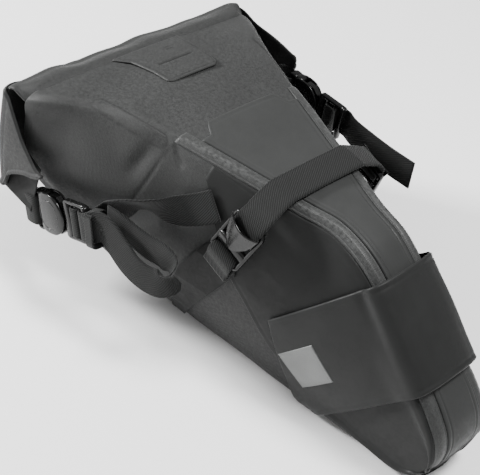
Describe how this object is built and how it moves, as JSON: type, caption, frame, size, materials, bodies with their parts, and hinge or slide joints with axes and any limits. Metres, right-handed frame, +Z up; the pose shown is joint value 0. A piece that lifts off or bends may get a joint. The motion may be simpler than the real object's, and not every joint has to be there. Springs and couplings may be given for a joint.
{
  "type": "saddle bag",
  "caption": "Tapered soft saddle bag with a roll-top closure, side-release buckles, a webbing strap over its top and a wrap-around seatpost band.",
  "frame": {"origin": "under the middle of the whole bag, on the plane its flat bottom lies on", "axes": "+X to the nose at the seatpost, +Y to the bicycle's left, +Z up"},
  "size_m": [0.3952, 0.244, 0.1723],
  "materials": {
    "shell_fabric": "coated charcoal fabric with a fine grainy weave and a low sheen",
    "rub_fabric": "raised grainy edging, rubbed pale along its crest",
    "panel_fabric": "smooth matte coated fabric, dark grey",
    "band_fabric": "smooth matte coated fabric, near black",
    "webbing": "black webbing with a fine twill rib",
    "hook_loop": "black hook-and-loop tape",
    "buckle_plastic": "black moulded plastic with a soft gloss",
    "board": "dark grey board",
    "reflective": "plain silver-grey reflective tape"
  },
  "bodies": {
    "bag": {"bag_shell": "shell_fabric", "base_stiffener": "board", "seatpost_stiffener": "board", "top_panel": "panel_fabric", "ridge_strip_right": "rub_fabric", "ridge_strip_left": "rub_fabric", "side_panel_right": "panel_fabric", "side_panel_left": "panel_fabric", "light_loop_patch": "shell_fabric", "rail_strap": "webbing", "seatpost_band": "band_fabric", "band_loop_patch": "hook_loop", "reflective_tab": "reflective", "side_strap_right": "webbing", "side_strap_left": "webbing", "lock_tab_right": "webbing", "lock_tab_left": "webbing", "wing_patch_right": "band_fabric", "wing_patch_left": "band_fabric"},
    "closure": {"closing_roll": "shell_fabric", "closing_batten": "board", "socket_left": "buckle_plastic", "end_loop_left": "webbing"},
    "right_socket": {"socket_right": "buckle_plastic", "end_loop_right": "webbing"},
    "right_plug": {"plug_right": "buckle_plastic", "strap_tail_right": "webbing"},
    "left_plug": {"plug_left": "buckle_plastic", "strap_tail_left": "webbing"},
    "right_upper_arm": {"plug_arm_upper_right": "buckle_plastic"},
    "right_lower_arm": {"plug_arm_lower_right": "buckle_plastic"},
    "left_upper_arm": {"plug_arm_upper_left": "buckle_plastic"},
    "left_lower_arm": {"plug_arm_lower_left": "buckle_plastic"},
    "right_lock": {"rail_lock_right": "buckle_plastic", "rail_strap_turn_right": "webbing"},
    "left_lock": {"rail_lock_left": "buckle_plastic", "rail_strap_turn_left": "webbing"},
    "band_flap": {"band_flap": "band_fabric", "band_hook_patch": "hook_loop"}
  },
  "joints": [
    {"name": "closure_unroll", "type": "slide", "parent": "bag", "child": "closure", "axis": [-1, 0, 0], "range_m": [0, 0.08]},
    {"name": "right_socket_follow", "type": "slide", "parent": "closure", "child": "right_socket", "axis": [0, 0, -1], "range_m": [0, 0.0325]},
    {"name": "right_plug_slide", "type": "slide", "parent": "bag", "child": "right_plug", "axis": [0.9272, 0, 0.3746], "range_m": [0, 0.02]},
    {"name": "right_upper_arm_pinch", "type": "hinge", "parent": "right_plug", "child": "right_upper_arm", "pos_m": [-0.12908, -0.113, 0.08311], "axis": [0, -1, 0], "range_deg": [0, 8], "stiffness_Nm_per_rad": 0.3},
    {"name": "right_lower_arm_pinch", "type": "hinge", "parent": "right_plug", "child": "right_lower_arm", "pos_m": [-0.12158, -0.113, 0.06457], "axis": [0, 1, 0], "range_deg": [0, 8], "stiffness_Nm_per_rad": 0.3},
    {"name": "left_plug_slide", "type": "slide", "parent": "bag", "child": "left_plug", "axis": [1, 0, 0], "range_m": [0, 0.02]},
    {"name": "left_upper_arm_pinch", "type": "hinge", "parent": "left_plug", "child": "left_upper_arm", "pos_m": [-0.08403, 0.115, 0.13], "axis": [0, -1, 0], "range_deg": [0, 8], "stiffness_Nm_per_rad": 0.3},
    {"name": "left_lower_arm_pinch", "type": "hinge", "parent": "left_plug", "child": "left_lower_arm", "pos_m": [-0.08403, 0.115, 0.11], "axis": [0, 1, 0], "range_deg": [0, 8], "stiffness_Nm_per_rad": 0.3},
    {"name": "right_lock_tilt", "type": "hinge", "parent": "bag", "child": "right_lock", "pos_m": [0.00287, -0.074, 0.114], "axis": [0.9567, 0, -0.2909], "range_deg": [0, 30]},
    {"name": "left_lock_tilt", "type": "hinge", "parent": "bag", "child": "left_lock", "pos_m": [0.00287, 0.074, 0.114], "axis": [-0.9567, 0, 0.2909], "range_deg": [0, 30]},
    {"name": "band_open", "type": "hinge", "parent": "bag", "child": "band_flap", "pos_m": [0.13456, -0.0315, 0.11306], "axis": [0.7593, 0, -0.6508], "range_deg": [0, 110]}
  ],
  "couplings": [
    {"joint": "right_socket_follow", "follows": "closure_unroll", "ratio": 0.40403}
  ]
}
